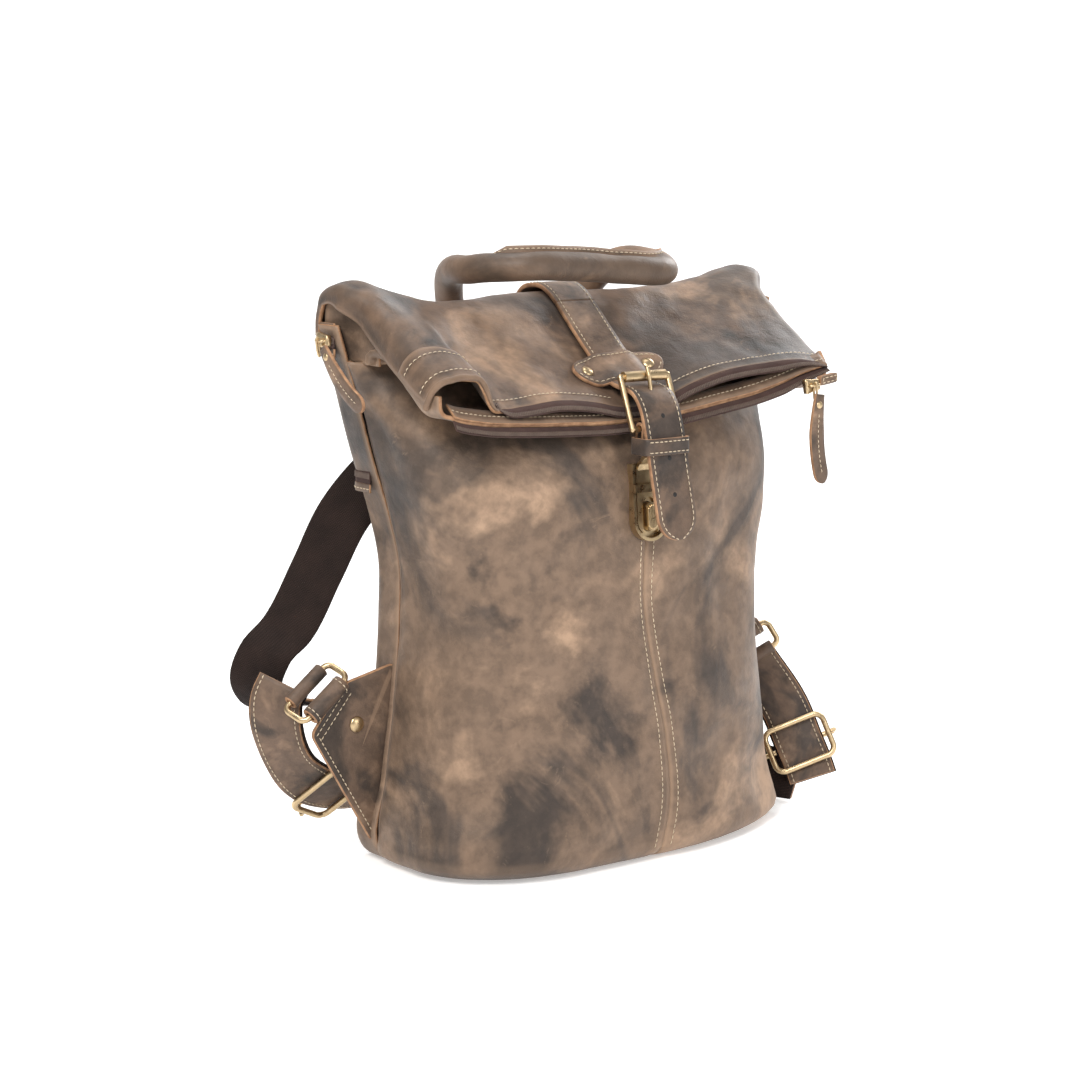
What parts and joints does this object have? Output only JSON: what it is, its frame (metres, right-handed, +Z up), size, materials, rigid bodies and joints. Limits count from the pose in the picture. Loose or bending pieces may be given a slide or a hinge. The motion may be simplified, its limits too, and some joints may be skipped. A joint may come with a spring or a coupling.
{
  "type": "leather roll-top backpack",
  "caption": "Tall leather backpack with a folded-over zipped top, a buckled closing strap with push lock, a rolled carry handle and adjustable shoulder straps.",
  "frame": {"origin": "middle of the flat bottom, on the surface the bag stands on", "axes": "+Z up, the bag's front faces -Y, +X to the right as seen from the front"},
  "size_m": [0.46, 0.2311, 0.4238],
  "materials": {
    "body_leather": "distressed waxed pull-up leather with darker blotches",
    "strap_leather": "thick waxed leather with raw tan edges",
    "webbing": "dense woven webbing, near black brown",
    "zip_tape": "woven zip tape with a coil",
    "lining_cloth": "plain woven cotton lining",
    "brass": "satin antique brass",
    "stiffener": "pressed board",
    "spring_steel": "small coil spring"
  },
  "bodies": {
    "bag": {"back_panel": "body_leather", "bottom_board": "stiffener", "bottom_panel": "body_leather", "front_left_panel": "body_leather", "front_right_panel": "body_leather", "lining": "lining_cloth", "lower_back_pocket": "lining_cloth", "lower_back_zip": "zip_tape", "upper_back_pocket": "lining_cloth", "upper_back_zip": "zip_tape", "top_fold": "body_leather", "closing_strap_back": "strap_leather", "handle_anchor_left": "strap_leather", "handle_anchor_right": "strap_leather", "strap_anchor_patch": "strap_leather", "lock_base": "brass", "button_spring": "spring_steel", "left_side_tab": "strap_leather", "left_tab_rivet": "brass", "right_side_tab": "strap_leather", "right_tab_rivet": "brass"},
    "flap": {"flap_outer_panel": "body_leather", "flap_inner_panel": "body_leather", "mouth_zip_upper_tape": "zip_tape", "mouth_zip_lower_tape": "zip_tape", "mouth_zip_end_tab": "strap_leather", "closing_strap_front": "strap_leather", "wing_patch": "strap_leather", "wing_patch_rivets": "brass"},
    "strap_tail": {"closing_strap_tail": "strap_leather", "buckle_frame": "brass", "buckle_chape": "strap_leather", "keeper_loop": "strap_leather", "lock_tongue": "brass"},
    "prong": {"buckle_prong": "brass"},
    "roller": {"buckle_roller": "brass"},
    "button": {"push_button": "brass"},
    "mouth_slider": {"mouth_zip_slider": "brass"},
    "mouth_pull": {"mouth_zip_pull": "strap_leather"},
    "upper_slider": {"upper_back_zip_slider": "brass"},
    "upper_pull": {"upper_back_zip_pull": "strap_leather"},
    "lower_slider": {"lower_back_zip_slider": "brass"},
    "lower_pull": {"lower_back_zip_pull": "strap_leather"},
    "handle": {"carry_handle": "strap_leather"},
    "left_strap": {"left_ring": "brass", "left_ring_strap_end": "strap_leather", "left_lower_strap_webbing": "webbing", "left_lower_strap_facing": "strap_leather", "left_shoulder_strap_webbing": "webbing", "left_shoulder_strap_facing": "strap_leather"},
    "left_adjuster": {"left_adjuster_frame": "brass", "left_adjuster_bar": "brass"},
    "right_strap": {"right_ring": "brass", "right_ring_strap_end": "strap_leather", "right_lower_strap_webbing": "webbing", "right_lower_strap_facing": "strap_leather", "right_shoulder_strap_webbing": "webbing", "right_shoulder_strap_facing": "strap_leather"},
    "right_adjuster": {"right_adjuster_frame": "brass", "right_adjuster_bar": "brass"}
  },
  "joints": [
    {"name": "fold_over", "type": "hinge", "parent": "bag", "child": "flap", "pos_m": [0, 0.046, 0.378], "axis": [1, 0, 0], "range_deg": [-115, 0], "deforming": ["top_fold", "closing_strap_back"]},
    {"name": "handle_swing", "type": "hinge", "parent": "bag", "child": "handle", "pos_m": [0, 0.088, 0.352], "axis": [1, 0, 0], "range_deg": [-105, 0]},
    {"name": "strap_swing", "type": "hinge", "parent": "flap", "child": "strap_tail", "pos_m": [0, -0.0322, 0.3363], "axis": [1, 0, 0], "range_deg": [-90, 0]},
    {"name": "prong_turn", "type": "hinge", "parent": "strap_tail", "child": "prong", "pos_m": [0, -0.064, 0.306], "axis": [1, 0, 0], "range_deg": [0, 8]},
    {"name": "roller_spin", "type": "hinge", "parent": "strap_tail", "child": "roller", "pos_m": [0, -0.05, 0.3405], "axis": [1, 0, 0], "continuous": true},
    {"name": "button_press", "type": "slide", "parent": "bag", "child": "button", "axis": [0, 0.997, -0.0775], "range_m": [0, 0.0015], "stiffness_N_per_m": 300},
    {"name": "mouth_zip_run", "type": "slide", "parent": "flap", "child": "mouth_slider", "axis": [-0.9941, 0.0497, -0.0964], "range_m": [0, 0.1]},
    {"name": "mouth_pull_swing", "type": "hinge", "parent": "mouth_slider", "child": "mouth_pull", "pos_m": [0.143, -0.0705, 0.3225], "axis": [1, 0, 0], "range_deg": [-80, 0]},
    {"name": "upper_zip_run", "type": "slide", "parent": "bag", "child": "upper_slider", "axis": [0, 1, 0], "range_m": [0, 0.008]},
    {"name": "upper_pull_swing", "type": "hinge", "parent": "upper_slider", "child": "upper_pull", "pos_m": [-0.1968, 0.0445, 0.3625], "axis": [0, 0.6198, -0.7848], "range_deg": [0, 70]},
    {"name": "lower_zip_run", "type": "slide", "parent": "bag", "child": "lower_slider", "axis": [-1, 0, 0], "range_m": [0, 0.23]},
    {"name": "lower_pull_swing", "type": "hinge", "parent": "lower_slider", "child": "lower_pull", "pos_m": [0.118, 0.086, 0.264], "axis": [1, 0, 0], "range_deg": [0, 80]},
    {"name": "left_ring_swing", "type": "hinge", "parent": "bag", "child": "left_strap", "pos_m": [-0.194, 0.0515, 0.121], "axis": [0.7828, 0, 0.6222], "range_deg": [-1, 3], "deforming": ["left_shoulder_strap_webbing", "left_shoulder_strap_facing"]},
    {"name": "left_adjuster_run", "type": "slide", "parent": "left_strap", "child": "left_adjuster", "axis": [0.8948, 0.179, -0.409], "range_m": [-0.003, 0.003]},
    {"name": "right_ring_swing", "type": "hinge", "parent": "bag", "child": "right_strap", "pos_m": [0.1815, 0.054, 0.1223], "axis": [0.7689, -0.3994, 0.4993], "range_deg": [-3, 3], "deforming": ["right_shoulder_strap_webbing", "right_shoulder_strap_facing"]},
    {"name": "right_adjuster_run", "type": "slide", "parent": "right_strap", "child": "right_adjuster", "axis": [0.109, -0.4662, -0.8779], "range_m": [-0.003, 0.003]}
  ],
  "couplings": [
    {"joint": "handle_swing", "follows": "fold_over", "ratio": 0.9}
  ]
}
